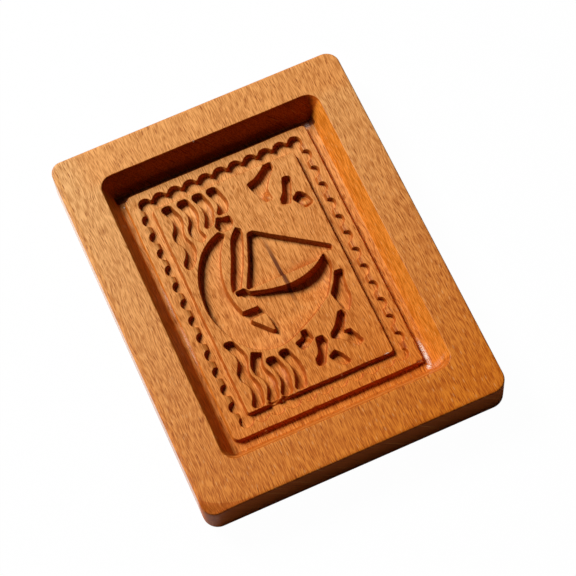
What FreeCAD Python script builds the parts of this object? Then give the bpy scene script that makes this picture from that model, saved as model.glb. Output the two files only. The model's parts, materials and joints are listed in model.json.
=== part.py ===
"""Wooden cookie stamp: a beech board with a moulding recess and a picture carved in its floor.

Units are millimetres. The origin is the centre of the underside, +Z is up, +Y runs along the
board to its far short side and +X to its right long side. The dough goes in from above.
"""
import FreeCAD, Part
import math
import os

import Sketcher
from FreeCAD import Vector

SIZES = {
    # the board
    "board_width": 100.0,
    "board_length": 129.5,
    "board_height": 13.0,
    "corner_near_left": 4.8,
    "corner_near_right": 5.0,
    "corner_far_right": 4.5,
    "corner_far_left": 4.0,
    "edge_bevel": 0.6,
    # the moulding recess, whose walls lean outwards
    "rim_left": 12.4,
    "rim_right": 11.8,
    "rim_near": 13.8,
    "rim_far": 11.5,
    "recess_depth": 8.1,
    "wall_lean": 3.8,
    "opening_corner": 4.5,
    # the panel that stands on the floor, with a gutter all round it
    "gutter_left": 1.9,
    "gutter_right": 3.3,
    "gutter_near": 3.6,
    "gutter_far": 2.7,
    "panel_height": 1.6,
    "panel_corner_near_left": 1.8,
    "panel_corner_near_right": 1.2,
    "panel_corner_far_right": 1.2,
    "panel_corner_far_left": 2.6,
    # the sunk band between the panel's frame and its field, lobed like the edge of a stamp
    "frame_left": 2.25,
    "frame_right": 1.85,
    "frame_near": 2.25,
    "frame_far": 2.25,
    "band_left": 4.8,
    "band_right": 5.2,
    "band_near": 4.4,
    "band_far": 5.2,
    "band_depth": 1.7,
    # its lobes in the rows across the board and along it, the teeth between them, how far a
    # row's end teeth reach towards the corner and how far in the corner lobe's middle lies
    "corner_lobe_across": 5.8,
    "corner_lobe_along": 4.8,
    "lobes_across": 9,
    "lobes_along": 12,
    "lobe_rise_across": 1.5,
    "lobe_rise_along": 1.95,
    "tooth_across": 0.5,
    "tooth_along": 2.0,
    "end_tooth_across": 0.25,
    "end_tooth_along": 0.5,
    "corner_pull_across": 0.8,
    "corner_pull_along": 1.75,
    "field_corner": 0.8,
    # the picture carved into the field
    "carving_depth": 2.3,
    "tool_radius": 0.7,
    "wave_width": 3.7,
    "wave_swing": 1.9,
}

# Left, right, near and far edge of the field that the picture is drawn for.
DRAWN_FIELD = (-24.8, 24.0, -37.0, 39.3)

# Outline corners of the picture, in the drawing. A third number is a corner's own radius, and
# SMOOTH rounds a corner as far as its two sides allow. Arcs closer than the shortest side meet.
SMOOTH = 60.0
SHORTEST_SIDE = 0.01
SUN = [
    (-9.0, 23.3), (-12.6, 22.0, SMOOTH), (-16.8, 18.8, SMOOTH), (-20.4, 13.4, SMOOTH),
    (-22.5, 7.0, SMOOTH), (-23.2, -0.4, SMOOTH), (-21.8, -7.6, SMOOTH), (-17.5, -15.5, SMOOTH),
    (-13.9, -19.1, SMOOTH), (-8.0, -21.3, SMOOTH), (-2.6, -20.4, SMOOTH), (7.4, -15.5, SMOOTH),
    (13.8, -11.2), (17.4, -5.7, SMOOTH), (19.5, -1.6, SMOOTH), (18.1, 2.5, 0.4),
    # underside of the hull
    (14.8, -0.1, SMOOTH), (9.6, -2.1, SMOOTH), (3.8, -2.8, SMOOTH), (-3.0, -1.5, SMOOTH),
    (-8.0, 0.2), (-9.2, 2.0), (-12.5, 1.9), (-12.3, 0.0),
    # rudder below the bow
    (-11.0, -0.2, 0.4), (-7.5, -5.4, 0.4), (-12.8, -5.3, 0.4), (-14.1, -0.6, SMOOTH),
    (-14.4, 4.6, SMOOTH), (-13.2, 11.2, SMOOTH), (-10.6, 17.2, SMOOTH), (-7.3, 21.6),
]
PENNANT = [(-11.6, -8.8, 0.3), (-6.6, -8.6, 0.4), (-5.9, -12.0, SMOOTH), (-6.0, -15.4, 0.3)]
MAINSAIL = [
    (-8.9, 0.9), (-4.4, 10.0, SMOOTH), (-1.0, 19.2, 1.1), (1.0, 19.2, 1.1),
    (21.9, 4.1, 0.9), (21.2, 2.5), (17.8, 2.7, 0.9), (15.5, 0.9, 1.5),
]
FORESAIL = [
    (-13.2, 1.0, 0.4), (-12.7, 4.6, SMOOTH), (-9.0, 13.0, SMOOTH), (-6.5, 19.6, SMOOTH),
    (-3.4, 22.7), (-1.9, 21.2), (-2.9, 16.8, SMOOTH), (-6.3, 9.0, SMOOTH), (-9.8, 2.4),
    (-12.3, 2.2, 0.3),
]
HOLE = [
    (-7.6, 28.2), (-5.6, 27.3, 2.0), (-3.4, 27.1), (-3.1, 24.4, 2.0), (-5.0, 22.5), (-8.3, 22.7),
    (-9.4, 25.2),
]
GULLS = [
    # far right, the larger with both wings open
    [(15.9, 39.1), (13.2, 38.8, 1.0), (11.6, 37.5, 2.0), (9.0, 35.8, 3.0), (5.7, 34.9),
     (6.6, 31.7, 2.0), (8.9, 26.4), (11.6, 26.6), (11.2, 30.6, 0.5), (13.4, 34.0, 3.0),
     (15.9, 36.9)],
    [(17.0, 32.5, 1.0), (19.9, 32.0, 1.0), (17.6, 26.0, 2.0), (16.2, 22.8), (13.1, 23.5),
     (13.4, 25.4), (15.0, 27.2, 1.5)],
    [(16.8, 23.9), (19.8, 26.0, 1.4), (21.9, 23.6, 2.0), (22.9, 20.0, 1.0), (19.7, 19.3, 1.0)],
    # near right
    [(18.6, -4.5, 1.0), (21.7, -4.7, 1.0), (20.4, -9.0, SMOOTH), (20.2, -15.0, SMOOTH),
     (17.4, -18.9), (15.9, -17.8, 0.4), (14.4, -11.4), (17.2, -7.6, SMOOTH)],
    [(13.7, -17.8), (15.3, -17.5, 0.5), (16.0, -19.1, 0.5), (13.0, -24.4, 0.4), (15.2, -24.5),
     (17.6, -29.8), (15.2, -30.8), (11.4, -26.6, SMOOTH), (8.5, -25.2), (8.9, -23.6),
     (11.4, -21.4, SMOOTH)],
    [(4.0, -22.8, 0.9), (6.4, -22.8, 0.9), (7.2, -25.2), (3.5, -32.0), (1.0, -32.0),
     (1.0, -29.6), (2.9, -27.9, SMOOTH)],
    [(5.1, -30.4), (7.8, -28.9), (9.6, -31.0, SMOOTH), (11.3, -34.6), (8.9, -35.0),
     (6.6, -33.0, SMOOTH)],
    [(0.6, -18.9, 0.5), (2.6, -18.9, 0.8), (3.7, -22.8), (1.0, -24.5, SMOOTH), (-1.3, -24.8),
     (-2.4, -22.0, 0.5), (0.3, -21.0, 0.4)],
]

# The waves: the line that the left edge swings about and where along the board it has a crest,
# the corners of the head and the left corner of the foot, how near the right edge runs, and the
# head's radius. No turn lies closer to an end than that end's clearance.
WAVE_LENGTH = 10.1
RIGHT_SWING_SHARE = 0.7
HEAD_CLEARANCE = 3.0
FOOT_CLEARANCE = 1.62
FOOT_RADIUS = 1.2
WAVES = [
    # left, crest, head left, head right, foot left, near right, head radius
    (-21.9, 37.1, (-23.1, 38.7), (-19.3, 38.6), (-21.9, 14.4), 16.6, 1.2),
    (-16.7, 36.9, (-18.1, 38.7), (-13.6, 38.6), (-14.8, 21.7), 23.6, 1.6),
    (-11.6, 36.9, (-12.8, 38.7), (-8.6, 38.7), (-13.1, 25.2), 26.4, 1.6),
    (-6.7, 36.9, (-7.8, 38.7), (-3.6, 38.7), (-8.2, 28.3), 28.6, 1.6),
    (-22.0, -24.8, (-23.5, -12.4), (-19.7, -12.8), (-23.4, -36.5), -36.5, 1.7),
    (-17.0, -24.8, (-16.0, -18.8), (-12.9, -20.4), (-18.3, -36.5), -36.5, 0.5),
    (-12.5, -24.8, (-13.8, -22.8), (-9.9, -22.8), (-13.7, -36.5), -36.5, 1.7),
    (-7.8, -24.8, (-9.0, -22.1), (-5.2, -22.2), (-9.0, -36.5), -36.5, 1.7),
]

# Height of each level above the underside.
FLOOR_LEVEL = "Sizes.board_height - Sizes.recess_depth"
PANEL_LEVEL = FLOOR_LEVEL + " + Sizes.panel_height"


def reach_of(*steps):
    """How far a rectangle reaches left, right, near and far of the origin, as expressions.

    Each step in from the board's edge is one sheet name, or one for each of the four sides.
    """
    reach = ["Sizes.board_width / 2"] * 2 + ["Sizes.board_length / 2"] * 2
    for step in steps:
        names = [step] * 4 if isinstance(step, str) else step
        reach = [f"{text} - Sizes.{name}" for text, name in zip(reach, names)]
    return reach


def on_sides(prefix):
    return [f"{prefix}_{side}" for side in ("left", "right", "near", "far")]


def on_corners(prefix):
    return [f"{prefix}_{place}" for place in ("near_left", "near_right", "far_right", "far_left")]


BOARD = reach_of()
OPENING = reach_of(on_sides("rim"))
PANEL = reach_of(on_sides("rim"), "wall_lean", on_sides("gutter"))
BAND = reach_of(on_sides("rim"), "wall_lean", on_sides("gutter"), on_sides("frame"))
FIELD = reach_of(on_sides("rim"), "wall_lean", on_sides("gutter"), on_sides("frame"),
                 on_sides("band"))


def add_sheet(doc):
    """Put every driving size in a sheet, under its own name."""
    sheet = doc.addObject("Spreadsheet::Sheet", "Sizes")
    for row, (name, value) in enumerate(SIZES.items(), start=1):
        sheet.set(f"A{row}", name)
        sheet.set(f"B{row}", str(value))
        sheet.setAlias(f"B{row}", name)
    doc.recompute()
    return sheet


def evaluate(sketch, text):
    """The number that an expression of sheet names gives."""
    return float(sketch.evalExpression(text))


def sketch_at(body, name, height):
    """An empty sketch on a horizontal plane, at a height given as an expression."""
    sketch = body.newObject("Sketcher::SketchObject", name)
    plane = next(item for item in body.Origin.OriginFeatures if item.Role == "XY_Plane")
    sketch.AttachmentSupport = [(plane, "")]
    sketch.MapMode = "FlatFace"
    sketch.setExpression("AttachmentOffset.Base.z", height)
    return sketch


def bind(sketch, constraint, text):
    """Add a constraint whose value follows an expression."""
    index = sketch.addConstraint(constraint)
    sketch.setExpression(f"Constraints[{index}]", text)


def draw_rectangle(sketch, reach, corners):
    """Draw a round-cornered rectangle round the origin, with every size bound to the sheet.

    The corner radii run from near left anticlockwise to far left.
    """
    left, right, near, far = (evaluate(sketch, text) for text in reach)
    radii = [evaluate(sketch, text) for text in corners]
    points = [Vector(-left, -near), Vector(right, -near), Vector(right, far), Vector(-left, far)]
    along = [Vector(1, 0), Vector(0, 1), Vector(-1, 0), Vector(0, -1)]
    first = sketch.GeometryCount
    for side in range(4):
        start = points[side] + along[side] * radii[side]
        end = points[(side + 1) % 4] - along[side] * radii[(side + 1) % 4]
        sketch.addGeometry(Part.LineSegment(start, end), False)
    for side in range(4):
        centre = points[side] + (along[side] - along[side - 1]) * radii[side]
        circle = Part.Circle(centre, Vector(0, 0, 1), radii[side])
        turn = math.pi + side * math.pi / 2
        sketch.addGeometry(Part.ArcOfCircle(circle, turn, turn + math.pi / 2), False)
    for side in range(4):
        line = first + side
        arc = first + 4 + side
        next_arc = first + 4 + (side + 1) % 4
        kind = "Horizontal" if side % 2 == 0 else "Vertical"
        sketch.addConstraint(Sketcher.Constraint(kind, line))
        sketch.addConstraint(Sketcher.Constraint("Tangent", line, 1, arc, 2))
        sketch.addConstraint(Sketcher.Constraint("Tangent", line, 2, next_arc, 1))
        bind(sketch, Sketcher.Constraint("Radius", arc, radii[side]), corners[side])
    bind(sketch, Sketcher.Constraint("DistanceX", first + 3, 1, -1, 1, left), reach[0])
    bind(sketch, Sketcher.Constraint("DistanceX", -1, 1, first + 1, 1, right), reach[1])
    bind(sketch, Sketcher.Constraint("DistanceY", first, 1, -1, 1, near), reach[2])
    bind(sketch, Sketcher.Constraint("DistanceY", -1, 1, first + 2, 1, far), reach[3])


def draw_outline(sketch, corners, place, radius):
    """Draw a closed outline of straight sides with rounded corners.

    A corner's arc takes at most half of the shorter of its two sides, so that a run of corners
    with a large radius becomes one smooth curve.
    """
    points = [place(corner[0], corner[1]) for corner in corners]
    wanted = [corner[2] if len(corner) > 2 else radius for corner in corners]
    count = len(points)
    arcs = []
    for index in range(count):
        before = points[index - 1] - points[index]
        after = points[(index + 1) % count] - points[index]
        half_turn = (math.pi - before.getAngle(after)) / 2
        cut = min(wanted[index] * math.tan(half_turn), before.Length / 2, after.Length / 2)
        start = points[index] + before.normalize() * cut
        end = points[index] + after.normalize() * cut
        centre_side = (before + after).normalize()
        corner_radius = cut / math.tan(half_turn)
        sagitta = corner_radius * (1 / math.cos(half_turn) - 1)
        arcs.append((start, points[index] + centre_side * sagitta, end))
    for index, (start, middle, end) in enumerate(arcs):
        following = arcs[(index + 1) % count][0]
        if end.distanceToPoint(following) < SHORTEST_SIDE:
            end = following
        else:
            sketch.addGeometry(Part.LineSegment(end, following), False)
        sketch.addGeometry(Part.Arc(start, middle, end), False)


def wave_outline(wave, width, swing):
    """The corners of one wave: a band with two swinging edges, cut off at both ends.

    The right edge swings less than the left one, so that the band narrows where it turns.
    """
    left, crest, head_left, head_right, foot_left, near_right, head_radius = wave

    def edge(along, base, reach):
        phase = (along - crest) / WAVE_LENGTH
        return base + reach * (4 * abs(phase - round(phase)) - 1)

    def turns(near, far):
        steps = range(-6, 4)
        places = [crest + WAVE_LENGTH / 2 * step for step in steps]
        return [y for y in places if near + FOOT_CLEARANCE < y < far - HEAD_CLEARANCE]

    right = left + width
    right_swing = RIGHT_SWING_SHARE * swing
    corners = [(*foot_left, FOOT_RADIUS)]
    corners += [(edge(y, left, swing), y, SMOOTH) for y in turns(foot_left[1], head_left[1])]
    corners += [(*head_left, head_radius), (*head_right, head_radius)]
    corners += [
        (edge(y, right, right_swing), y, SMOOTH)
        for y in reversed(turns(near_right, head_right[1]))
    ]
    corners.append((edge(near_right, right, right_swing), near_right, FOOT_RADIUS))
    return corners


def picture_places(sketch):
    """A function that lays a point of the drawing on the field at its real size."""
    left, right, near, far = (evaluate(sketch, text) for text in FIELD)
    drawn_left, drawn_right, drawn_near, drawn_far = DRAWN_FIELD
    across = (right + left) / (drawn_right - drawn_left)
    along = (far + near) / (drawn_far - drawn_near)

    def place(x, y):
        return Vector((x - drawn_left) * across - left, (y - drawn_near) * along - near)

    return place


def draw_lobed_edge(sketch):
    """Draw the band's outer edge: a row of lobes on each side and a larger one at each corner.

    A row runs from a tooth at one end to a tooth at the other, with a lobe after each but the
    last. The four rows follow one another anticlockwise from the far one.
    """
    left, right, near, far = (evaluate(sketch, text) for text in BAND)
    centre = Vector((right - left) / 2, (far - near) / 2)
    half = {"across": (near + far) / 2, "along": (left + right) / 2}
    rows = []
    for outward, way, other in (
        (Vector(0, 1), "across", "along"), (Vector(-1, 0), "along", "across"),
        (Vector(0, -1), "across", "along"), (Vector(1, 0), "along", "across"),
    ):
        rise, tooth, end_tooth, corner_lobe, corner_pull, count = (
            evaluate(sketch, f"Sizes.{name}_{way}")
            for name in ("lobe_rise", "tooth", "end_tooth", "corner_lobe", "corner_pull", "lobes")
        )
        forward = Vector(-outward.y, outward.x)
        last = half[other] - corner_lobe
        middles = [
            centre + outward * (half[way] - rise) + forward * (2 * last * k / count - last)
            for k in range(round(count) + 1)
        ]
        starts = [middle - forward * tooth / 2 for middle in middles]
        ends = [middle + forward * tooth / 2 for middle in middles]
        starts[0] = middles[0] - forward * end_tooth
        ends[-1] = middles[-1] + forward * end_tooth
        rows.append((outward * rise, outward * (half[way] - corner_pull), starts, ends))

    for number, (bulge, pulled, starts, ends) in enumerate(rows):
        _, next_pulled, next_starts, _ = rows[(number + 1) % 4]
        for start, end in zip(starts, ends):
            sketch.addGeometry(Part.LineSegment(start, end), False)
        for start, end in zip(ends, starts[1:]):
            sketch.addGeometry(Part.Arc(start, (start + end) / 2 + bulge, end), False)
        corner = centre + pulled + next_pulled
        sketch.addGeometry(Part.Arc(ends[-1], corner, next_starts[0]), False)


def pocket(body, name, sketch, depth):
    """Cut a sketch's outlines straight down by a depth given as an expression."""
    cut = body.newObject("PartDesign::Pocket", name)
    cut.Profile = (sketch, [""])
    cut.setExpression("Length", depth)
    return cut


def flat_faces(shape):
    """Names of the faces that look straight up or down."""
    return [
        f"Face{number}" for number, face in enumerate(shape.Faces, start=1)
        if face.BoundBox.ZLength < 0.001
    ]


def make_board(doc, body):
    """The plain board with its four corners cut round and its sharp edges taken off."""
    sketch = sketch_at(body, "BoardOutline", "0")
    draw_rectangle(sketch, BOARD, on_corners("Sizes.corner"))
    pad = body.newObject("PartDesign::Pad", "Board")
    pad.Profile = (sketch, [""])
    pad.setExpression("Length", "Sizes.board_height")
    doc.recompute()
    bevel = body.newObject("PartDesign::Chamfer", "EasedEdges")
    bevel.Base = (pad, flat_faces(pad.Shape))
    bevel.setExpression("Size", "Sizes.edge_bevel")
    doc.recompute()


def cut_recess(doc, body):
    """The moulding recess, narrower at the foot of its leaning walls."""
    opening = sketch_at(body, "OpeningOutline", "Sizes.board_height")
    draw_rectangle(opening, OPENING, ["Sizes.opening_corner"] * 4)
    recess = pocket(body, "Recess", opening, "Sizes.recess_depth")
    recess.setExpression("TaperAngle", "-atan(Sizes.wall_lean / Sizes.recess_depth)")
    doc.recompute()


def raise_panel(doc, body):
    """The panel on the floor, and the lobed band sunk between its frame and its field."""
    outline = sketch_at(body, "PanelOutline", FLOOR_LEVEL)
    draw_rectangle(outline, PANEL, on_corners("Sizes.panel_corner"))
    panel = body.newObject("PartDesign::Pad", "Panel")
    panel.Profile = (outline, [""])
    panel.setExpression("Length", "Sizes.panel_height")
    doc.recompute()

    edges = sketch_at(body, "BandOutline", PANEL_LEVEL)
    draw_lobed_edge(edges)
    draw_rectangle(edges, FIELD, ["Sizes.field_corner"] * 4)
    pocket(body, "Band", edges, "Sizes.band_depth")
    doc.recompute()


def carve(doc, body, name, outlines):
    """Carve a group of closed outlines of the drawing into the field."""
    sketch = sketch_at(body, name + "Outlines", PANEL_LEVEL)
    place = picture_places(sketch)
    radius = evaluate(sketch, "Sizes.tool_radius")
    for outline in outlines:
        draw_outline(sketch, outline, place, radius)
    pocket(body, name, sketch, "Sizes.carving_depth")
    doc.recompute()


def carve_picture(doc, body):
    """A boat under sail in front of the sun, with waves to the left and gulls to the right."""
    carve(doc, body, "Sun", [SUN, PENNANT])
    carve(doc, body, "Sails", [MAINSAIL, FORESAIL])
    width = evaluate(body, "Sizes.wave_width")
    swing = evaluate(body, "Sizes.wave_swing")
    waves = [wave_outline(wave, width, swing) for wave in WAVES]
    carve(doc, body, "Waves", waves + [HOLE])
    carve(doc, body, "Gulls", GULLS)


def check(doc):
    """Stop if any object failed."""
    for item in doc.Objects:
        if "Invalid" in item.State or "Error" in item.State:
            raise RuntimeError(f"{item.Name} is {item.State}")


def main():
    doc = FreeCAD.newDocument("CookieStamp")
    add_sheet(doc)
    body = doc.addObject("PartDesign::Body", "StampBoard")
    body.Label = "stamp_board"
    make_board(doc, body)
    cut_recess(doc, body)
    raise_panel(doc, body)
    carve_picture(doc, body)
    doc.recompute()
    check(doc)

    os.makedirs("parts", exist_ok=True)
    shape = body.Shape
    if shape.isNull() or not shape.isValid():
        raise RuntimeError("the board's shape is not valid")
    shape.exportStep(f"parts/{body.Label}.step")
    print(body.Label, "solids", len(shape.Solids), "faces", len(shape.Faces),
          "volume", round(shape.Volume, 1), shape.BoundBox)


main()
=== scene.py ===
"""Looks of the wooden cookie stamp: one carved beech board, lit and seen as in its photograph.

The board's visible mesh is laid over the solid. Its outlines are read from the solid's level
faces, and every edge, leaning wall and hollow foot follows from the distance to them.
"""
import json
import math

import bpy
import numpy as np
from mathutils import Matrix, Vector, geometry, kdtree, noise

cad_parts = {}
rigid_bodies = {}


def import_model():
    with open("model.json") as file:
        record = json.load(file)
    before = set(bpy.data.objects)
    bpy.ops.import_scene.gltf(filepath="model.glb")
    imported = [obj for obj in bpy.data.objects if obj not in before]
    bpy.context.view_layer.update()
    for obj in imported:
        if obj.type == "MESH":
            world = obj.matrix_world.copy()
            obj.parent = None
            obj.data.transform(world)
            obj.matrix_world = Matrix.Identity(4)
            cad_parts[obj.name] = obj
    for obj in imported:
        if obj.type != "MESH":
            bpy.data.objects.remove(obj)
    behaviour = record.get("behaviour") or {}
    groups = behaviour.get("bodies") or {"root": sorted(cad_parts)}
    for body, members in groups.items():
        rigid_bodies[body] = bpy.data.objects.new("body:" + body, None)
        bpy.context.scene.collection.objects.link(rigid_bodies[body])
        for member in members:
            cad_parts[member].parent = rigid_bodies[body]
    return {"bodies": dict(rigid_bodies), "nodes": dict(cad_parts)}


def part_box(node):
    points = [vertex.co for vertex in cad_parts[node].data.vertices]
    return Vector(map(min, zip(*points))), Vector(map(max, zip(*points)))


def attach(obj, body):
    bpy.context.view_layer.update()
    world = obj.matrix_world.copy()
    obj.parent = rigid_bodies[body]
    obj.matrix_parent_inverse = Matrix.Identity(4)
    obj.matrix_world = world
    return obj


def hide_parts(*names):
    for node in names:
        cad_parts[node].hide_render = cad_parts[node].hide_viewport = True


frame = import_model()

MM = 0.001
NODE = "stamp_board"

# Levels of the solid, below its top face.
FLOOR_DEPTH = 8.1 * MM
PANEL_DEPTH = 6.5 * MM
BAND_DEPTH = 8.2 * MM
CARVED_DEPTH = 8.8 * MM
WALL_RUN = 3.8 * MM
OUTER_BEVEL = 0.6 * MM


def clear_startup():
    """Remove what a new file holds, so that only the board's own solid is there."""
    own = set(frame["nodes"].values()) | set(frame["bodies"].values())
    for item in list(bpy.data.objects):
        if item not in own:
            bpy.data.objects.remove(item)


clear_startup()
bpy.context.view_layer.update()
LOW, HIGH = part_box(NODE)
TOP = HIGH.z


# Outlines of the solid's level faces

SPACING = 0.4 * MM
SHORTEST_SHARE = 0.1
CORNER_TURN = math.radians(24)
FAN_STEP = math.radians(18)
RING_ERROR = 0.03 * MM
LEVEL_ERROR = 0.001 * MM
FACING_UP = 0.9
NO_LENGTH = 1e-12
SAME_LENGTH = 1e-9


def level_loops(level):
    """Closed outlines of the solid's upward faces at a level, each with the face on its left."""
    mesh = frame["nodes"][NODE].data
    edges = set()
    places = {}
    for polygon in mesh.polygons:
        corners = [mesh.vertices[index].co for index in polygon.vertices]
        off_level = any(abs(corner.z - level) > LEVEL_ERROR for corner in corners)
        if polygon.normal.z < FACING_UP or off_level:
            continue
        keys = [(round(corner.x / LEVEL_ERROR), round(corner.y / LEVEL_ERROR))
                for corner in corners]
        for key, corner in zip(keys, corners):
            places[key] = (corner.x, corner.y)
        for start, end in zip(keys, keys[1:] + keys[:1]):
            edges.add((start, end))
    following = {start: end for start, end in edges if (end, start) not in edges}
    loops = []
    while following:
        first = next(iter(sorted(following)))
        loop = [first]
        key = following.pop(first)
        while key != first:
            loop.append(key)
            key = following.pop(key)
        loops.append(np.array([places[key] for key in loop]))
    return loops


def area_of(loop):
    """Area inside a closed outline, below zero where the face lies outside it."""
    x, y = loop[:, 0], loop[:, 1]
    return 0.5 * np.sum(x * np.roll(y, -1) - y * np.roll(x, -1))


def turns_of(loop):
    """How far the outline turns at each of its points."""
    after = np.roll(loop, -1, axis=0) - loop
    before = loop - np.roll(loop, 1, axis=0)
    cross = before[:, 0] * after[:, 1] - before[:, 1] * after[:, 0]
    return np.arctan2(cross, np.sum(before * after, axis=1))


def smooth_points(loop, spacing):
    """Points along an outline, on a curve through its own points that keeps its sharp corners."""
    sharp = np.abs(turns_of(loop)) > CORNER_TURN
    count = len(loop)
    points = []
    for index in range(count):
        start, end = loop[index], loop[(index + 1) % count]
        length = np.linalg.norm(end - start)
        before, beyond = loop[index - 1], loop[(index + 2) % count]
        lead = end - start if sharp[index] else (end - before) / 2
        trail = end - start if sharp[(index + 1) % count] else (beyond - start) / 2
        lead = lead * length / max(np.linalg.norm(lead), NO_LENGTH)
        trail = trail * length / max(np.linalg.norm(trail), NO_LENGTH)
        steps = max(1, round(length / spacing))
        for step in range(steps):
            t = step / steps
            points.append(
                (2 * t**3 - 3 * t**2 + 1) * start + (t**3 - 2 * t**2 + t) * lead
                + (3 * t**2 - 2 * t**3) * end + (t**3 - t**2) * trail
            )
    points = np.array(points)
    stretches = np.linalg.norm(np.roll(points, -1, axis=0) - points, axis=1)
    return points[stretches > SHORTEST_SHARE * spacing]


class Outline:
    """The edge of a cut: signed distance to it, positive on the cut's side."""

    def __init__(self, loops, spacing=SPACING):
        loops = [smooth_points(loop, spacing) for loop in loops]
        self.points = np.concatenate(loops)
        self.after = np.concatenate([np.roll(loop, -1, axis=0) for loop in loops])
        self.before = np.concatenate([np.roll(loop, 1, axis=0) for loop in loops])
        self.turns = np.concatenate([turns_of(loop) for loop in loops])
        self.tree = kdtree.KDTree(len(self.points))
        for index, (x, y) in enumerate(self.points):
            self.tree.insert((x, y, 0), index)
        self.tree.balance()

    @staticmethod
    def left_of(start, end):
        """Direction square to each stretch, towards its left."""
        along = end - start
        along = along / np.maximum(np.linalg.norm(along, axis=1), NO_LENGTH)[:, None]
        return np.stack([-along[:, 1], along[:, 0]], axis=1)

    def distance(self, places):
        """Distance of each place to the two stretches that meet at the nearest point."""
        nearest = np.array([self.tree.find((x, y, 0))[1] for x, y in places])
        best = np.full(len(places), np.inf)
        sign = np.ones(len(places))
        before, point, after = self.before[nearest], self.points[nearest], self.after[nearest]
        at_corner = self.left_of(before, point) + self.left_of(point, after)
        for start, end in ((before, point), (point, after)):
            along = end - start
            squared = np.maximum(np.sum(along**2, axis=1), NO_LENGTH**2)
            share = np.sum((places - start) * along, axis=1) / squared
            inside = (share > 0) & (share < 1)
            foot = start + np.clip(share, 0, 1)[:, None] * along
            away = places - foot
            length = np.linalg.norm(away, axis=1)
            side = np.where(inside[:, None], self.left_of(start, end), at_corner)
            better = length < best - SAME_LENGTH
            best = np.where(better, length, best)
            sign = np.where(better, np.where(np.sum(away * side, axis=1) >= 0, 1.0, -1.0), sign)
        return best * sign

    def ring(self, offset):
        """Points at one distance from the edge, where no other stretch of it comes nearer."""
        before = self.left_of(self.before, self.points)
        after = self.left_of(self.points, self.after)
        middle = before + after
        middle /= np.maximum(np.linalg.norm(middle, axis=1), NO_LENGTH)[:, None]
        found = [self.points + middle * offset]
        outside = (np.abs(self.turns) > CORNER_TURN) & (np.sign(self.turns) * offset < 0)
        for index in np.flatnonzero(outside):
            start = math.atan2(before[index, 1], before[index, 0])
            steps = max(2, round(abs(self.turns[index]) / FAN_STEP))
            angles = start + self.turns[index] * np.arange(steps + 1) / steps
            fan = np.stack([np.cos(angles), np.sin(angles)], axis=1)
            found.append(self.points[index] + fan * offset)
        found = np.concatenate(found)
        return found[np.abs(self.distance(found) - offset) < RING_ERROR]


class Wall:
    """Section of a cut's wall: rounded edge, leaning wall and hollow foot, down to a depth.

    The edge and the foot have a radius each. The shift moves the whole section towards the cut,
    and middle says how many points the leaning part has between its ends.
    """

    ARC = (0.0, 0.3, 0.62, 1.0)
    SHOULDER = 0.18 * MM

    def __init__(self, depth, slope, edge, foot, shift=0.0, middle=0):
        run = depth / math.tan(slope)
        start = shift - edge * math.tan(slope / 2)
        end = shift + run + foot * math.tan(slope / 2)
        top = [(start + edge * math.sin(slope * share), edge * (1 - math.cos(slope * share)))
               for share in self.ARC]
        low = [(end - foot * math.sin(slope * share), depth - foot * (1 - math.cos(slope * share)))
               for share in reversed(self.ARC)]
        first, last = np.array(top[-1]), np.array(low[0])
        between = [tuple(first + (last - first) * (step / (middle + 1)))
                   for step in range(1, middle + 1)]
        ends = (start - self.SHOULDER, 0.0), (end + self.SHOULDER, depth)
        self.offsets, self.drops = np.array([ends[0], *top, *between, *low, ends[1]]).T

    def drop(self, distance):
        """How far the surface lies below the face, at distances into the cut."""
        return np.interp(distance, self.offsets, self.drops)


# The board's mesh

RIM_SLOPE = math.atan(FLOOR_DEPTH / WALL_RUN)
RIM_WALL = Wall(FLOOR_DEPTH, RIM_SLOPE, 0.35 * MM, 1.0 * MM, middle=3)
PANEL_WALL = Wall(FLOOR_DEPTH - PANEL_DEPTH, math.radians(80), 0.22 * MM, 0.3 * MM, 0.1 * MM)
BAND_WALL = Wall(BAND_DEPTH - PANEL_DEPTH, math.radians(78), 0.22 * MM, 0.35 * MM, 0.05 * MM)
CARVED_WALL = Wall(CARVED_DEPTH - PANEL_DEPTH, math.radians(79), 0.26 * MM, 0.4 * MM, 0.05 * MM)
GROOVE_WALL = Wall(CARVED_DEPTH - PANEL_DEPTH, math.radians(81), 0.34 * MM, 0.45 * MM, 0.02 * MM)

# Small closed cuts are grooves, apart from those of the boat, which lie beyond this line.
GROOVE_AREA = 130 * MM**2
BOAT_NEAR_END = -15 * MM

GRID_SPACING = 1.0 * MM
WALL_CLEARANCE = 0.3 * MM
CLOSEST = 0.07 * MM
SIDE_ARC = (0.25, 0.5, 0.75, 1.0)
SIDE_STEPS = 5
SAME_POINT = 1e-6


def is_groove(loop, carved):
    """Whether a carved outline is a small closed one, not a part of the large cut."""
    largest = max(carved, key=area_of)
    low, high = largest.min(axis=0), largest.max(axis=0)
    middle = loop.mean(axis=0)
    of_the_boat = np.all((middle > low) & (middle < high)) and middle[1] > BOAT_NEAR_END
    return 0 < area_of(loop) < GROOVE_AREA and not of_the_boat


def outlines():
    """The opening, the panel, the lobed band and the carved picture, each with its cut inside."""
    opening = [loop[::-1] for loop in level_loops(TOP) if area_of(loop) < 0]
    panel = [loop for loop in level_loops(TOP - FLOOR_DEPTH) if area_of(loop) < 0]
    carved = level_loops(TOP - CARVED_DEPTH)
    return {
        "opening": Outline(opening, 2 * SPACING),
        "panel": Outline(panel),
        "band": Outline(level_loops(TOP - BAND_DEPTH)),
        "picture": Outline([loop for loop in carved if not is_groove(loop, carved)]),
        "grooves": Outline([loop for loop in carved if is_groove(loop, carved)]),
    }


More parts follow.
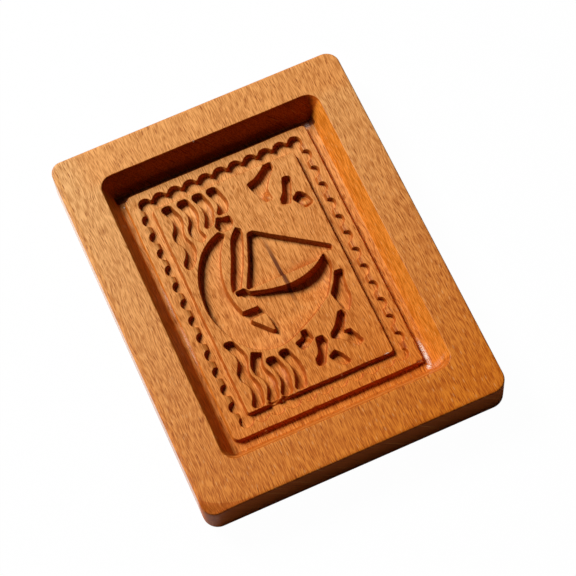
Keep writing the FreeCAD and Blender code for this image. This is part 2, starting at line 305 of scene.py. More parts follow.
def surface_points(cuts):
    """Points of the top face: rings along every cut, the outer edge and a loose grid between."""
    rim = [loop for loop in level_loops(TOP) if area_of(loop) > 0][0]
    edge = smooth_points(rim, 2 * SPACING)
    rings = [
        (cuts["picture"], CARVED_WALL), (cuts["grooves"], GROOVE_WALL), (cuts["band"], BAND_WALL),
        (cuts["panel"], PANEL_WALL), (cuts["opening"], RIM_WALL),
    ]
    found = [edge] + [cut.ring(offset) for cut, wall in rings for offset in wall.offsets]
    low, high = edge.min(axis=0), edge.max(axis=0)
    rows = int((high[1] - low[1]) / GRID_SPACING)
    columns = int((high[0] - low[0]) / GRID_SPACING)
    grid = np.array([
        (low[0] + (column + 0.5 * (row % 2) + 0.25) * GRID_SPACING,
         low[1] + (row + 0.5) * GRID_SPACING)
        for row in range(rows) for column in range(columns)
    ])
    outer = Outline([rim], 2 * SPACING)
    grid = grid[outer.distance(grid) > GRID_SPACING / 2]
    for cut, wall in rings:
        distance = cut.distance(grid)
        before_wall = distance < wall.offsets[0] - WALL_CLEARANCE
        beyond_wall = distance > wall.offsets[-1] + WALL_CLEARANCE
        grid = grid[before_wall | beyond_wall]
    return edge, thin_out(np.concatenate(found + [grid]))


def thin_out(points):
    """Leave out each point that lies too close to an earlier one."""
    tree = kdtree.KDTree(len(points))
    for index, (x, y) in enumerate(points):
        tree.insert((x, y, 0), index)
    tree.balance()
    dropped = np.zeros(len(points), bool)
    for index, (x, y) in enumerate(points):
        if dropped[index]:
            continue
        for _, other, _ in tree.find_range((x, y, 0), CLOSEST):
            if other > index:
                dropped[other] = True
    return points[~dropped]


# Lengths from here to the mesh itself are in mm.
# Places where a cut runs out shallow: middle, reach across and along, and how much is left uncut.
SHALLOW = [
    (-21.5, 23.0, 3.8, 13.0, 0.45), (-16.0, 27.5, 3.4, 10.5, 0.45), (-11.6, 29.5, 3.0, 9.0, 0.4),
    (-7.0, 30.5, 2.8, 7.0, 0.35), (-22.0, -28.0, 3.6, 13.5, 0.45), (-17.0, -32.0, 3.2, 10.5, 0.5),
    (-12.5, -33.0, 3.0, 9.0, 0.55), (-8.0, -33.0, 3.0, 9.0, 0.6), (10.6, 27.6, 2.6, 3.6, 0.8),
    (20.5, 21.6, 2.6, 2.6, 0.45), (6.5, -31.5, 3.0, 3.0, 0.3),
    (18.2, -14.5, 4.5, 7.0, 0.78), (1.0, -23.2, 3.2, 2.8, 0.5), (12.4, -25.5, 4.0, 4.0, 0.35),
]
# The sun's floor is hollow below the hull and behind the sails, and runs out towards the near end:
# middle, reach across and along, and what is added to the depth as a share of it.
HOLLOWS = [
    (10.5, -3.0, 12.0, 8.5, 0.62), (-19.0, 3.0, 9.0, 20.0, 0.3), (2.0, -20.0, 20.0, 9.0, -0.55),
]
# Chips out of the panel's and the field's edges: middle, reach across and along, depth.
CHIPS = [
    (-16.2, -36.9, 2.3, 1.5, 1.4), (-12.5, -37.0, 1.4, 1.1, 1.0), (-13.9, -37.2, 0.7, 0.7, 0.6),
    (-19.6, -37.1, 0.7, 0.5, 0.3), (2.6, -37.1, 1.2, 0.5, 0.25), (14.0, -37.1, 1.0, 0.5, 0.25),
    (29.8, -43.7, 1.4, 0.6, 0.5), (-5.0, -43.7, 1.6, 0.5, 0.25), (-31.2, 46.3, 0.7, 0.9, 0.4),
]
# The band is cut less deep at its near end than at its far one: place along, share of the depth.
BAND_SHARE = ((-41.0, 0.86), (44.0, 1.12))

# The teeth of the band's two long rows slope down into it: place across, run, depth.
TOOTH_RAMPS = ((-28.9, 1.2, 0.75), (28.5, -1.0, 0.5))
TOOTH_REACH = 4
TOOTH_CURVE = 1.5
TOOTH_ENDS = (-38.5, 41.7)
TOOTH_END_FADE = 0.8

# The near left corner is sanded down beyond a curved line.
SANDED_REACH = 6.9
SANDED_FADE = 6.7
SANDED_SLOPE = 0.12
SANDED_CURVE = 0.012

# The tools' marks: floors are a little uneven, the planed faces hardly at all.
PLANED_UNEVEN = 0.012
CUT_UNEVEN, CUT_SIZES = 0.075, (2.1, 4.2)
CUT_RIPPLE, RIPPLE_SIZES = 0.035, (0.8, 1.6)
FULLY_CUT = 0.9
LOWERED = 0.03
LAYER_STEP = 7.3

# How edges stray from their lines: size and reach of a slow bend and of a quick shake. Places
# near the outer edge keep still.
STRAYING = ((7.0, 0.10), (1.3, 0.05))
STILL_EDGE = 3
STILL_FADE = 4


def dish(points, x, y, across, along):
    """A round hollow's share of its depth: 1 in the middle and 0 from its rim outwards."""
    away = ((points[:, 0] / MM - x) / across)**2 + ((points[:, 1] / MM - y) / along)**2
    return np.clip(1 - away, 0, 1)**2


def waver(points, across, along, layer):
    """Smooth chance values between -1 and 1, of one layer for each number."""
    return np.array([
        noise.noise(Vector((x / MM / across, y / MM / along, LAYER_STEP * layer)))
        for x, y in points
    ])


def sanded(points):
    """How far the top face lies below its plane at the near left corner."""
    x, y = points.T / MM
    line = LOW.y / MM + SANDED_REACH * np.exp((LOW.x / MM - x) / SANDED_FADE)
    beyond = np.maximum(line - y, 0)
    return (SANDED_SLOPE * beyond + SANDED_CURVE * beyond**3) * MM


def tooth_ramps(points):
    """How far the slopes of the teeth lie below the panel."""
    x, y = points.T / MM
    low, high = TOOTH_ENDS
    along = np.clip(np.minimum(y - low, high - y) / TOOTH_END_FADE, 0, 1)
    drop = np.zeros(len(points))
    for start, run, depth in TOOTH_RAMPS:
        share = np.clip((x - start) / run, 0, 1)
        near = np.abs(x - start) < TOOTH_REACH
        drop = np.maximum(drop, depth * share**TOOTH_CURVE * along * near)
    return drop * MM


def heights(points, cuts):
    """Height of the carved surface over each point."""
    wall = TOP - sanded(points) - RIM_WALL.drop(cuts["opening"].distance(points))
    panel = TOP - PANEL_DEPTH - PANEL_WALL.drop(cuts["panel"].distance(points))
    base = np.maximum(wall, panel)

    near, far = BAND_SHARE
    share = np.interp(points[:, 1] / MM, (near[0], far[0]), (near[1], far[1]))
    drop = BAND_WALL.drop(cuts["band"].distance(points)) * share
    drop = np.maximum(drop, tooth_ramps(points))
    left = np.ones(len(points))
    for x, y, across, along, uncut in SHALLOW:
        left = np.minimum(left, 1 - uncut * dish(points, x, y, across, along))
    hollow = np.ones(len(points))
    for x, y, across, along, more in HOLLOWS:
        hollow += more * dish(points, x, y, across, along)
    drop = np.maximum(drop, CARVED_WALL.drop(cuts["picture"].distance(points)) * hollow)
    drop = np.maximum(drop, GROOVE_WALL.drop(cuts["grooves"].distance(points)) * left)
    for x, y, across, along, depth in CHIPS:
        drop = np.maximum(drop, depth * MM * dish(points, x, y, across, along))

    z = base - drop
    cut = np.clip((TOP - PANEL_DEPTH - z) / (FULLY_CUT * MM), 0, 1)
    uneven = (PLANED_UNEVEN + CUT_UNEVEN * cut) * waver(points, *CUT_SIZES, 1)
    uneven += CUT_RIPPLE * cut * waver(points, *RIPPLE_SIZES, 2)
    return z + uneven * MM - LOWERED * MM


def hand_cut(points):
    """The same places moved a little, so that no edge runs quite straight."""
    inner = np.minimum(points - np.array(LOW.xy), np.array(HIGH.xy) - points).min(axis=1)
    fade = np.clip((inner / MM - STILL_EDGE) / STILL_FADE, 0, 1)[:, None]
    moved = np.stack([
        sum(reach * waver(points, size, size, layer)
            for (size, reach), layer in zip(STRAYING, layers))
        for layers in ((3, 4), (5, 6))
    ], axis=1)
    return points + fade * moved * MM


def side_levels():
    """How far out and how high the rings of the outer side lie, from the top face down."""
    turns = [math.pi / 2 * share for share in SIDE_ARC]
    height = TOP - 2 * OUTER_BEVEL
    levels = [(OUTER_BEVEL * math.sin(turn), TOP - OUTER_BEVEL * (1 - math.cos(turn)))
              for turn in turns]
    levels += [(OUTER_BEVEL, TOP - OUTER_BEVEL - height * step / SIDE_STEPS)
               for step in range(1, SIDE_STEPS + 1)]
    levels += [(OUTER_BEVEL * math.cos(turn), OUTER_BEVEL * (1 - math.sin(turn)))
               for turn in turns]
    return levels


def board_mesh():
    """The whole board as one closed mesh."""
    cuts = outlines()
    edge, points = surface_points(cuts)
    z = heights(points, cuts)
    count = len(edge)
    flat = [Vector((x / MM, y / MM)) for x, y in points]
    border = [(index, (index + 1) % count) for index in range(count)]
    _, _, triangles, _, _, _ = geometry.delaunay_2d_cdt(flat, border, [], 1, SAME_POINT)
    z = np.minimum(z, TOP)
    vertices = [(x, y, height) for (x, y), height in zip(hand_cut(points), z)]
    faces = [tuple(face) for face in triangles if max(face) < len(points)]

    outward = -Outline.left_of(np.roll(edge, 1, axis=0), np.roll(edge, -1, axis=0))
    previous = list(range(count))
    lowered = z[:count] / TOP
    for offset, height in side_levels():
        ring = [len(vertices) + index for index in range(count)]
        places = np.clip(edge + outward * offset, LOW.xy, HIGH.xy)
        vertices += [(x, y, height * share) for (x, y), share in zip(places, lowered)]
        for index in range(count):
            after = (index + 1) % count
            faces.append((previous[index], ring[index], ring[after], previous[after]))
        previous = ring
    faces.append(tuple(reversed(previous)))

    mesh = bpy.data.meshes.new("carved_board")
    mesh.from_pydata(vertices, [], faces)
    mesh.validate()
    mesh.shade_smooth()
    return mesh


def add_board():
    """The carved board, which takes the solid's place."""
    board = bpy.data.objects.new("carved_board", board_mesh())
    bpy.context.scene.collection.objects.link(board)
    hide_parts(NODE)
    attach(board, "root")
    board.data.materials.append(beech())


# Beech

# Lengths without MM are in mm, and colours are linear. A pair of colours is the wood at its
# darkest and its palest. The tints multiply the colour of the wood under them.
# The board is richer in colour towards its near end and paler towards its far one: partly the
# wood's own tone, partly a painted sheen of the lamp, which stands beyond the far left corner.
RICH_WOOD = ((0.47, 0.098, 0.003), (0.74, 0.215, 0.014))
PALE_WOOD_AND_SHEEN = ((0.55, 0.237, 0.064), (0.865, 0.450, 0.162))
PALING_ALONG = 0.0069
PALING_ACROSS = -0.0025
# Walls and end grain have colours of their own; on the small cuts these colours are painted shade
# on the faces turned away from the lamp.
WALL_WOOD = ((0.50, 0.135, 0.008), (0.80, 0.255, 0.032))
END_WOOD = ((0.42, 0.086, 0.006), (0.62, 0.140, 0.014))
# Painted lit copy of the end grain, for end faces turned to the lamp such as the near inner wall.
LIT_END_WOOD = ((0.36, 0.084, 0.006), (0.52, 0.134, 0.016))
NEAR_WALL_LINE = (0.72, 0.30, 0.085)
# Outer end faces: end grain, darkened further as painted shade for the near end, which faces away
# from the lamp; the far end takes the same colour.
OUTER_END_WOOD_AND_SHADE = ((0.27, 0.062, 0.012), (0.40, 0.100, 0.022))
FLECK_TINT = (0.52, 0.33, 0.15)
RECESS_TINT = (0.99, 0.94, 0.92)
EDGE_TINT = (0.93, 0.84, 0.66)
FAR_RIM_TINT = (0.99, 0.87, 0.72)
# Painted shadow in the far gutter, along the panel's far edge.
FAR_GUTTER_SHADOW_TINT = (0.28, 0.18, 0.20)
# Painted light: the tint of the small cuts' walls that face the lamp.
LIT_WALL_TINT = (0.62, 0.41, 0.22)
STREAK_TINT = (0.19, 0.13, 0.26)
PALE_FIBRE = (0.84, 0.46, 0.19)
DUST = (0.95, 0.86, 0.76)
BEECH_ROUGHNESS = 0.44
FIBRE_ROUGHNESS = 0.15
SIDE_ROUGHNESS = -0.28
BEECH_GLOSS = 0.2
CUT_GLOSS = 0.06
SIDE_GLOSS = 0.35
FIBRE_RELIEF = 0.5
FLECK_RELIEF = 0.6
RELIEF_STRENGTH = 0.35
RELIEF_DEPTH = 0.05 * MM

# The wood's figure: sizes of its features across, along and up, and how much each adds.
WANDER_SIZES, WANDER = (9.0, 22.0, 9.0), 3.0
BAND_SIZES, BAND_TONE = (3.5, 45.0, 7.0), 0.7
FIBRE_SIZES, FIBRE_TONE, FIBRE_DETAIL = (0.36, 3.8, 0.5), 4.6, 3.0
MOTTLE_SIZES, MOTTLE_TONE = (5.0, 8.0, 6.0), 0.3

# Flecks: sizes of their cells, reach as a share of a cell, and strength of the strongest. Their
# places lean across and along with depth.
FINE_FLECKS = ((0.6, 4.6), 0.26, 0.75)
BOLD_FLECKS = ((1.0, 6.2), 0.19, 0.9)
BOLD_SHIFT = (31.7, 12.9, 5.3)
FLECK_LEAN = (0.8, 0.15)
WEAKEST_FLECK = 0.25
FLECK_CORE = 0.55
WALL_FLECKS = 0.2
PALE_CELLS, PALE_SHIFT = (1.2, 5.0, 1.0), (7.1, 3.3, 9.9)
PALE_REACH = (0.2, 0.05)
PALE_STRENGTH = (0.4, 1.0, 0.0, 0.35)

# Where each mask begins and where it is full, and then its strengths there if not 0 and 1.
# First come slopes, as parts of the face's own direction across or along.
WALL_SLOPE = (0.35, 0.85)
END_SLOPE = (0.12, 0.38)
NEAR_END_SLOPE = (0.0, 0.3)
NEAR_WALL_SLOPE = (0.5, 0.8)
OUTER_END_SLOPE = (0.25, 0.85)
LIT_ALONG = (0.2, 0.4)
LIT_ACROSS = (-0.22, -0.45)

LEFT, NEAR = LOW.x / MM, LOW.y / MM
PANEL_LEVEL = (TOP - PANEL_DEPTH) / MM
OUTER_X = (40.5, 41.5)
OUTER_Y = (55.5, 56.5)
PANEL_X = (32.0, 31.6)
PANEL_Y = (45.4, 45.0)
PANEL_MIDDLE_Y = 1.3
SMALL_CUT = (PANEL_LEVEL + 0.2, PANEL_LEVEL + 0.02)
RECESS = (PANEL_LEVEL + 1.2, PANEL_LEVEL + 0.4)
CARVED_SIDE = (1.5, 2.5)
SANDED = (0.0, 0.15, 0.0, 0.7)
NEAR_LINE_LEVEL = 9.3
NEAR_LINE = (0.55, 0.2, 0.0, 0.7)
LEFT_EDGE = (LEFT + 1.9, LEFT + 1.5)
NEAR_EDGE = (NEAR + 1.2, NEAR + 0.8)
LEFT_SIDE = (LEFT + 0.45, LEFT + 0.1)
LEFT_SIDE_Y = (NEAR + 4.0, NEAR + 9.0)
STREAK_LEAN, STREAK_X = -0.03, 3.75
STREAK_REACH = (0.85, 0.35)
STREAK_NEAR = (-13.0, 1.0)
STREAK_FAR = (20.0, 6.0)
STREAK_FIBRES = (0.3, 0.6, 0.75, 1.0)
FAR_RIM_X = (-46.0, -36.0)
FAR_RIM_Y = (48.0, 54.0)
# Bounds of the painted shadow in the far gutter.
FAR_GUTTER_NEAR = (46.0, 46.6)
FAR_GUTTER_FAR = (49.4, 48.2)
FAR_GUTTER_LEVEL = (6.6, 5.8)
SPECK_REACH = (1.15, 0.35)
GRAIN_SIZES, GRAIN_DETAIL = (0.32, 0.36, 0.4), 4.0
GRAINS = (0.43, 0.52)

# Pale specks, torn fibres and dust: middle, reach across and along, strength.
SPECKS = [
    (32.6, -41.2, 0.9, 5.8, 0.8), (32.5, -42.0, 0.6, 1.6, 1.0), (31.9, -45.8, 0.9, 0.9, 1.0),
    (34.8, -46.2, 3.0, 1.2, 0.1), (-32.4, -8.0, 0.5, 9.0, 0.3), (-32.6, 8.0, 0.5, 7.0, 0.3),
    (30.0, -43.5, 1.4, 0.25, 0.9), (6.4, -37.2, 0.4, 0.25, 0.9), (-13.3, -37.3, 0.4, 0.3, 0.9),
    (21.8, -36.9, 0.9, 0.25, 0.8), (-22.0, -43.9, 0.5, 0.2, 0.8), (-31.2, 46.1, 0.4, 0.5, 0.8),
    (-32.6, 44.8, 0.35, 0.35, 0.9), (-4.3, 53.2, 0.4, 0.3, 0.8), (32.3, 46.6, 1.2, 1.4, 0.4),
]


class Graph:
    """Short ways to add nodes to a node tree and to join them."""

    def __init__(self, tree):
        self.nodes, self.links = tree.nodes, tree.links

    def feed(self, socket, value):
        if isinstance(value, bpy.types.NodeSocket):
            self.links.new(value, socket)
        elif socket.type == "RGBA":
            socket.default_value = (*value, 1)
        else:
            socket.default_value = value

    def math(self, operation, first, second=0.0, third=0.0):
        node = self.nodes.new("ShaderNodeMath")
        node.operation = operation
        for socket, value in zip(node.inputs, (first, second, third)):
            self.feed(socket, value)
        return node.outputs[0]

    def times(self, first, *others):
        """All the values multiplied with each other."""
        for value in others:
            first = self.math("MULTIPLY", first, value)
        return first

    def apart(self, value, place):
        """How far a value lies from a place, to either side."""
        return self.math("ABSOLUTE", self.math("SUBTRACT", value, place))

    def about_half(self, value, amount, total):
        """A total to which a pattern adds more or less, by how far it lies from a half."""
        return self.math("MULTIPLY_ADD", self.math("SUBTRACT", value, 0.5), amount, total)

    def split(self, vector):
        node = self.nodes.new("ShaderNodeSeparateXYZ")
        self.links.new(vector, node.inputs[0])
        return node.outputs

    def joined(self, *values):
        """A vector of these values, with 0 for those that are left out."""
        node = self.nodes.new("ShaderNodeCombineXYZ")
        for socket, value in zip(node.inputs, values):
            self.feed(socket, value)
        return node.outputs[0]

    def vector(self, operation, first, second):
        node = self.nodes.new("ShaderNodeVectorMath")
        node.operation = operation
        self.feed(node.inputs[0], first)
        self.feed(node.inputs["Scale"] if operation == "SCALE" else node.inputs[1], second)
        return node.outputs["Value" if operation == "LENGTH" else "Vector"]

    def stretched(self, place, sizes):
        """The place counted in lengths of their own across, along and up."""
        return self.vector("MULTIPLY", place, tuple(1 / size for size in sizes))

    def grain(self, place, sizes, detail=2.0):
        """Soft chance pattern with features of these sizes, about 0.5 in the middle."""
        node = self.nodes.new("ShaderNodeTexNoise")
        node.inputs["Scale"].default_value = 1.0
        node.inputs["Detail"].default_value = detail
        self.feed(node.inputs["Vector"], self.stretched(place, sizes))
        return node.outputs["Fac"]

    def cells(self, place, sizes):
        """Distance to the nearest of a field of scattered points, and that point's own values."""
        node = self.nodes.new("ShaderNodeTexVoronoi")
        node.voronoi_dimensions = "2D"
        node.inputs["Scale"].default_value = 1.0
        self.feed(node.inputs["Vector"], self.stretched(place, sizes))
        return node.outputs["Distance"], self.split(node.outputs["Color"])[0]

    def fade(self, value, start, end, first=0.0, last=1.0):
        """A smooth step from one value to another as the input goes from start to end."""
        node = self.nodes.new("ShaderNodeMapRange")
        node.interpolation_type = "SMOOTHSTEP"
        for name, given in (("Value", value), ("From Min", start), ("From Max", end),
                            ("To Min", first), ("To Max", last)):
            self.feed(node.inputs[name], given)
        return node.outputs["Result"]

    def blend(self, share, first, second, kind="MIX"):
        node = self.nodes.new("ShaderNodeMix")
        node.data_type = "RGBA"
        node.blend_type = kind
        self.feed(node.inputs["Factor"], share)
        self.feed(node.inputs[6], first)
        self.feed(node.inputs[7], second)
        return node.outputs[2]

    def tinted(self, share, colour, tint):
        """The colour, multiplied by the tint where the share is full."""
        return self.blend(share, colour, self.blend(1.0, colour, tint, "MULTIPLY"))


class Masks:
    """Where each kind of face and mark lies on the board, as shares from 0 to 1, with those that
    say where light and shade are painted.
    """

    def __init__(self, graph, place, normal, fibres):
        x, y, z = graph.split(place)
        across, along, _ = graph.split(normal)
        from_x, from_y = graph.math("ABSOLUTE", x), graph.math("ABSOLUTE", y)
        steep = graph.math("ABSOLUTE", along)
        outer = graph.math("MAXIMUM", graph.fade(from_x, *OUTER_X), graph.fade(from_y, *OUTER_Y))
        inner = graph.math("SUBTRACT", 1.0, outer)
        # Paler towards the far end: partly the wood's own tone, partly painted sheen.
        self.paling = graph.math("MULTIPLY_ADD", y, PALING_ALONG, 0.5)
        self.paling = graph.math("MULTIPLY_ADD", x, PALING_ACROSS, self.paling)
        self.wall = graph.fade(graph.math("ABSOLUTE", across), *WALL_SLOPE)
        self.end = graph.times(graph.fade(steep, *END_SLOPE), inner)
        # End faces turned to the lamp, which take a painted lit colour.
        self.lamp_facing_end = graph.fade(along, *NEAR_END_SLOPE)
        self.outer_end = graph.times(graph.fade(steep, *OUTER_END_SLOPE), outer)
        self.recess = graph.times(graph.fade(z, *RECESS), inner)
        self.carved_side = graph.fade(z, *CARVED_SIDE)

        # Beyond the curved line at the near left corner the wood is sanded into the grain.
        line = graph.math("DIVIDE", graph.math("SUBTRACT", LEFT, x), SANDED_FADE)
        line = graph.math("MULTIPLY_ADD", graph.math("EXPONENT", line), SANDED_REACH, NEAR)
        sanded_part = graph.fade(graph.math("SUBTRACT", line, y), *SANDED)

        # Walls of the small cuts are painted lit or shaded by whether they face the lamp: those
        # that face it keep the colour of the panel under a lit tint, the others take the darker
        # wall and end-grain colours.
        from_middle = graph.apart(y, PANEL_MIDDLE_Y)
        on_panel = graph.times(graph.fade(from_x, *PANEL_X), graph.fade(from_middle, *PANEL_Y))
        lit = graph.math("MAXIMUM", graph.fade(along, *LIT_ALONG), graph.fade(across, *LIT_ACROSS))
        self.lit = graph.times(graph.fade(z, *SMALL_CUT), on_panel, lit)
        shaded = graph.math("SUBTRACT", 1.0, self.lit)
        self.shaded_wall = graph.times(self.wall, shaded, inner)
        self.shaded_end = graph.times(graph.math("MAXIMUM", self.end, sanded_part), shaded)
        near_wall = graph.times(graph.fade(along, *NEAR_WALL_SLOPE), inner)
        level = graph.apart(z, NEAR_LINE_LEVEL)
        self.near_line = graph.times(near_wall, graph.fade(level, *NEAR_LINE))

        self.edge = graph.math("MAXIMUM", graph.fade(x, *LEFT_EDGE), graph.fade(y, *NEAR_EDGE))
        self.left_side = graph.times(graph.fade(x, *LEFT_SIDE), graph.fade(y, *LEFT_SIDE_Y))
        away = graph.apart(x, graph.math("MULTIPLY_ADD", y, STREAK_LEAN, STREAK_X))
        self.streak = graph.times(
            graph.fade(away, *STREAK_REACH), graph.fade(y, *STREAK_NEAR),
            graph.fade(y, *STREAK_FAR), graph.fade(fibres, *STREAK_FIBRES), self.carved_side)
        self.far_rim = graph.times(graph.fade(y, *FAR_RIM_Y), graph.fade(x, *FAR_RIM_X))
        # Painted shadow in the far gutter, next to the panel's far edge.
        self.far_gutter_shadow = graph.times(
            graph.fade(y, *FAR_GUTTER_NEAR), graph.fade(y, *FAR_GUTTER_FAR),
            graph.fade(z, *FAR_GUTTER_LEVEL), inner)


def figure(graph, place):
    """Places that follow the wandering grain, the wood's fibres and its tone."""
    wander = graph.math("SUBTRACT", graph.grain(place, WANDER_SIZES), 0.5)
    grained = graph.vector("ADD", place, graph.joined(graph.times(wander, WANDER)))
    fibres = graph.grain(grained, FIBRE_SIZES, FIBRE_DETAIL)
    tone = graph.about_half(graph.grain(grained, BAND_SIZES), BAND_TONE, 0.5)
    tone = graph.about_half(fibres, FIBRE_TONE, tone)
    tone = graph.about_half(graph.grain(place, MOTTLE_SIZES), MOTTLE_TONE, tone)
    return grained, fibres, tone


def flecks(graph, place, sizes, radius, strongest):
    """Short dark ray flecks, each of a strength of its own."""
    distance, own = graph.cells(place, (*sizes, 1.0))
    shape = graph.fade(distance, radius, FLECK_CORE * radius)
    return graph.times(shape, graph.fade(own, WEAKEST_FLECK, 1.0, 0.0, strongest))


def dust_mask(graph, place):
    """All the specks together, broken up into grains."""
    dust = 0.0
    for x, y, across, along, strength in SPECKS:
        away = graph.vector("SUBTRACT", place, (x, y, 0.0))
        away = graph.vector("MULTIPLY", away, (1 / across, 1 / along, 0.0))
        length = graph.vector("LENGTH", away, (0.0, 0.0, 0.0))
        dust = graph.math("MAXIMUM", dust, graph.fade(length, *SPECK_REACH, 0.0, strength))
    return graph.times(dust, graph.fade(graph.grain(place, GRAIN_SIZES, GRAIN_DETAIL), *GRAINS))


def cut_wood(graph, masks, tone):
    """Colour of the plain wood, of its walls and of its end grain, with walls painted lit or
    shaded by how they face the lamp.
    """
    plain = graph.blend(masks.paling, graph.blend(tone, *RICH_WOOD),
                        graph.blend(tone, *PALE_WOOD_AND_SHEEN))
    # End grain that faces the lamp takes its painted lit copy.
    end_wood = graph.blend(masks.lamp_facing_end, graph.blend(tone, *END_WOOD),
                           graph.blend(tone, *LIT_END_WOOD))
    colour = graph.blend(masks.shaded_wall, plain, graph.blend(tone, *WALL_WOOD))
    colour = graph.blend(masks.shaded_end, colour, end_wood)
    # Outer ends: end grain darkened as painted shade.
    colour = graph.blend(masks.outer_end, colour, graph.blend(tone, *OUTER_END_WOOD_AND_SHADE))
    colour = graph.blend(masks.near_line, colour, NEAR_WALL_LINE)
    # Walls of the small cuts that face the lamp: painted light.
    return graph.blend(masks.lit, colour, graph.blend(1.0, plain, LIT_WALL_TINT, "MULTIPLY"))


def beech():
    """The board's wood, with its grain, flecks, streak, edges and dust, and with painted light and
    shade: a sheen towards the far end, lit and shaded walls and a shadow in the far gutter.
    """
    material = bpy.data.materials.new("beech")
    material.use_nodes = True
    graph = Graph(material.node_tree)
    shader = material.node_tree.nodes["Principled BSDF"]
    source = graph.nodes.new("ShaderNodeTexCoord")
    place = graph.vector("SCALE", source.outputs["Object"], 1 / MM)
    grained, fibres, tone = figure(graph, place)
    masks = Masks(graph, place, source.outputs["Normal"], fibres)
    colour = cut_wood(graph, masks, tone)

    depth = graph.split(place)[2]
    lean = graph.joined(*(graph.times(depth, share) for share in FLECK_LEAN))
    grained = graph.vector("ADD", grained, lean)
    fine = flecks(graph, grained, *FINE_FLECKS)
    bold = flecks(graph, graph.vector("ADD", grained, BOLD_SHIFT), *BOLD_FLECKS)
    fleck = graph.times(graph.math("MAXIMUM", fine, bold),
                        graph.fade(masks.wall, 0.0, 1.0, 1.0, WALL_FLECKS))
    colour = graph.tinted(fleck, colour, FLECK_TINT)
    distance, own = graph.cells(graph.vector("ADD", grained, PALE_SHIFT), PALE_CELLS)
    pale = graph.times(graph.fade(distance, *PALE_REACH), graph.fade(own, *PALE_STRENGTH))
    colour = graph.blend(pale, colour, PALE_FIBRE)

    # The far gutter's tint is a painted shadow.
    for share, tint in ((masks.recess, RECESS_TINT), (masks.edge, EDGE_TINT),
                        (masks.streak, STREAK_TINT), (masks.far_rim, FAR_RIM_TINT),
                        (masks.far_gutter_shadow, FAR_GUTTER_SHADOW_TINT)):
        colour = graph.tinted(share, colour, tint)
    dust = graph.times(dust_mask(graph, place), masks.carved_side)
    graph.feed(shader.inputs["Base Color"], graph.blend(dust, colour, DUST))

    # Cut wood is dull, and the left side's face is smooth enough to mirror what it stands on.
    cut = graph.math("MAXIMUM", graph.math("MAXIMUM", masks.end, masks.outer_end),
                     graph.math("MAXIMUM", masks.wall, masks.recess))
    gloss = graph.math("MAXIMUM", graph.fade(cut, 0.0, 1.0, BEECH_GLOSS, CUT_GLOSS),
                       graph.times(masks.left_side, SIDE_GLOSS))
    graph.feed(shader.inputs["Specular IOR Level"], gloss)
    rough = graph.about_half(fibres, FIBRE_ROUGHNESS, BEECH_ROUGHNESS)
    rough = graph.math("MULTIPLY_ADD", masks.left_side, SIDE_ROUGHNESS, rough)
    graph.feed(shader.inputs["Roughness"], rough)
    relief = graph.math("SUBTRACT", graph.times(fibres, FIBRE_RELIEF),
                        graph.times(fleck, FLECK_RELIEF))
    bump = graph.nodes.new("ShaderNodeBump")
    bump.inputs["Strength"].default_value = RELIEF_STRENGTH
    bump.inputs["Distance"].default_value = RELIEF_DEPTH
    graph.feed(bump.inputs["Height"], relief)
    graph.feed(shader.inputs["Normal"], bump.outputs["Normal"])
    return material


# Studio

CAMERA_PLACE = Vector((-82.77, -273.21, 639.10)) * MM
CAMERA_AIM = Vector((2.37, -6.81, 13.0)) * MM
CAMERA_ROLL = math.radians(-6.793)
CAMERA_LENS = 138.60
SENSOR_WIDTH = 36
HALF_PIXEL = 0.5 / 576

LIGHT_FROM = Vector((-0.6, 1.0, 1.0)).normalized()
LIGHT_DISTANCE = 1.5
LIGHT_SIZE = 0.60
LIGHT_LEVEL = 1.0
SKY_LEVEL = 0.012
FLOOR_HALF = 3.0
FLOOR_COLOUR = (0.8, 0.8, 0.8, 1)
FLOOR_ROUGHNESS = 0.9
FLOOR_GLOW = 0.985


def add_camera():
    """A long lens at the photograph's angle."""
    data = bpy.data.cameras.new("camera")
    data.lens = CAMERA_LENS
    data.sensor_width = SENSOR_WIDTH
    data.shift_x = -HALF_PIXEL
    data.shift_y = HALF_PIXEL
    camera = bpy.data.objects.new("camera", data)
    camera.location = CAMERA_PLACE
    level = (CAMERA_AIM - CAMERA_PLACE).to_track_quat("-Z", "Y")
    camera.rotation_mode = "QUATERNION"
    camera.rotation_quaternion = level @ Matrix.Rotation(CAMERA_ROLL, 3, "Z").to_quaternion()
    bpy.context.scene.collection.objects.link(camera)
    bpy.context.scene.camera = camera


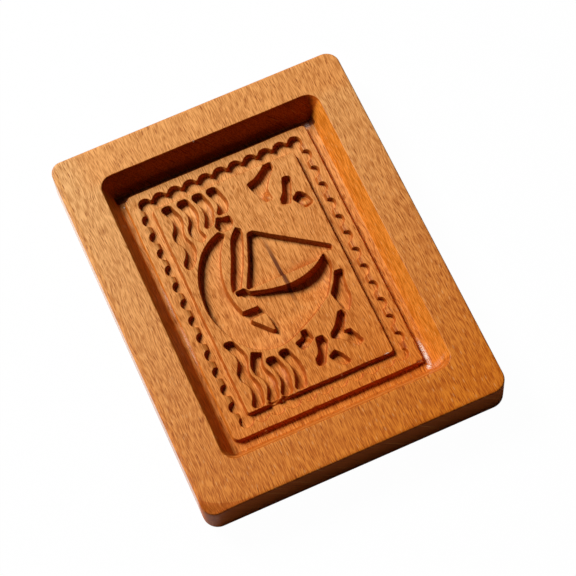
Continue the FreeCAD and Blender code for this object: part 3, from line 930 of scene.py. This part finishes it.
def add_light():
    """One large soft lamp beyond the far left corner, and a faint even sky."""
    data = bpy.data.lights.new("soft_lamp", "AREA")
    data.shape = "DISK"
    data.size = LIGHT_SIZE
    upright = LIGHT_FROM.z
    data.energy = LIGHT_LEVEL * (math.pi * LIGHT_DISTANCE) ** 2 / upright
    lamp = bpy.data.objects.new("soft_lamp", data)
    lamp.location = LIGHT_FROM * LIGHT_DISTANCE
    lamp.rotation_mode = "QUATERNION"
    lamp.rotation_quaternion = (-LIGHT_FROM).to_track_quat("-Z", "Y")
    bpy.context.scene.collection.objects.link(lamp)
    world = bpy.data.worlds.new("sky")
    world.use_nodes = True
    nodes, links = world.node_tree.nodes, world.node_tree.links
    background = nodes["Background"]
    background.inputs["Color"].default_value = (1, 1, 1, 1)
    path = nodes.new("ShaderNodeLightPath")
    level = nodes.new("ShaderNodeMapRange")
    level.inputs["To Min"].default_value = SKY_LEVEL
    level.inputs["To Max"].default_value = 1.0
    links.new(path.outputs["Is Camera Ray"], level.inputs["Value"])
    links.new(level.outputs["Result"], background.inputs["Strength"])
    bpy.context.scene.world = world


def add_floor():
    """A plain white floor: white to the eye, with a faint share of the board's shadow."""
    mesh = bpy.data.meshes.new("floor")
    corners = [(x * FLOOR_HALF, y * FLOOR_HALF, 0)
               for x, y in ((-1, -1), (1, -1), (1, 1), (-1, 1))]
    mesh.from_pydata(corners, [], [(0, 1, 2, 3)])
    floor = bpy.data.objects.new("floor", mesh)
    bpy.context.scene.collection.objects.link(floor)
    material = bpy.data.materials.new("floor")
    material.use_nodes = True
    nodes, links = material.node_tree.nodes, material.node_tree.links
    shader = nodes["Principled BSDF"]
    shader.inputs["Base Color"].default_value = FLOOR_COLOUR
    shader.inputs["Roughness"].default_value = FLOOR_ROUGHNESS
    shader.inputs["Specular IOR Level"].default_value = 0.0
    glow = nodes.new("ShaderNodeEmission")
    path = nodes.new("ShaderNodeLightPath")
    seen = nodes.new("ShaderNodeMath")
    seen.operation = "MULTIPLY"
    seen.inputs[1].default_value = FLOOR_GLOW
    mix = nodes.new("ShaderNodeMixShader")
    links.new(path.outputs["Is Camera Ray"], seen.inputs[0])
    links.new(seen.outputs[0], mix.inputs["Fac"])
    links.new(shader.outputs["BSDF"], mix.inputs[1])
    links.new(glow.outputs["Emission"], mix.inputs[2])
    links.new(mix.outputs["Shader"], nodes["Material Output"].inputs["Surface"])
    mesh.materials.append(material)


add_board()
add_camera()
add_light()
add_floor()

bpy.context.scene.view_settings.view_transform = "Standard"
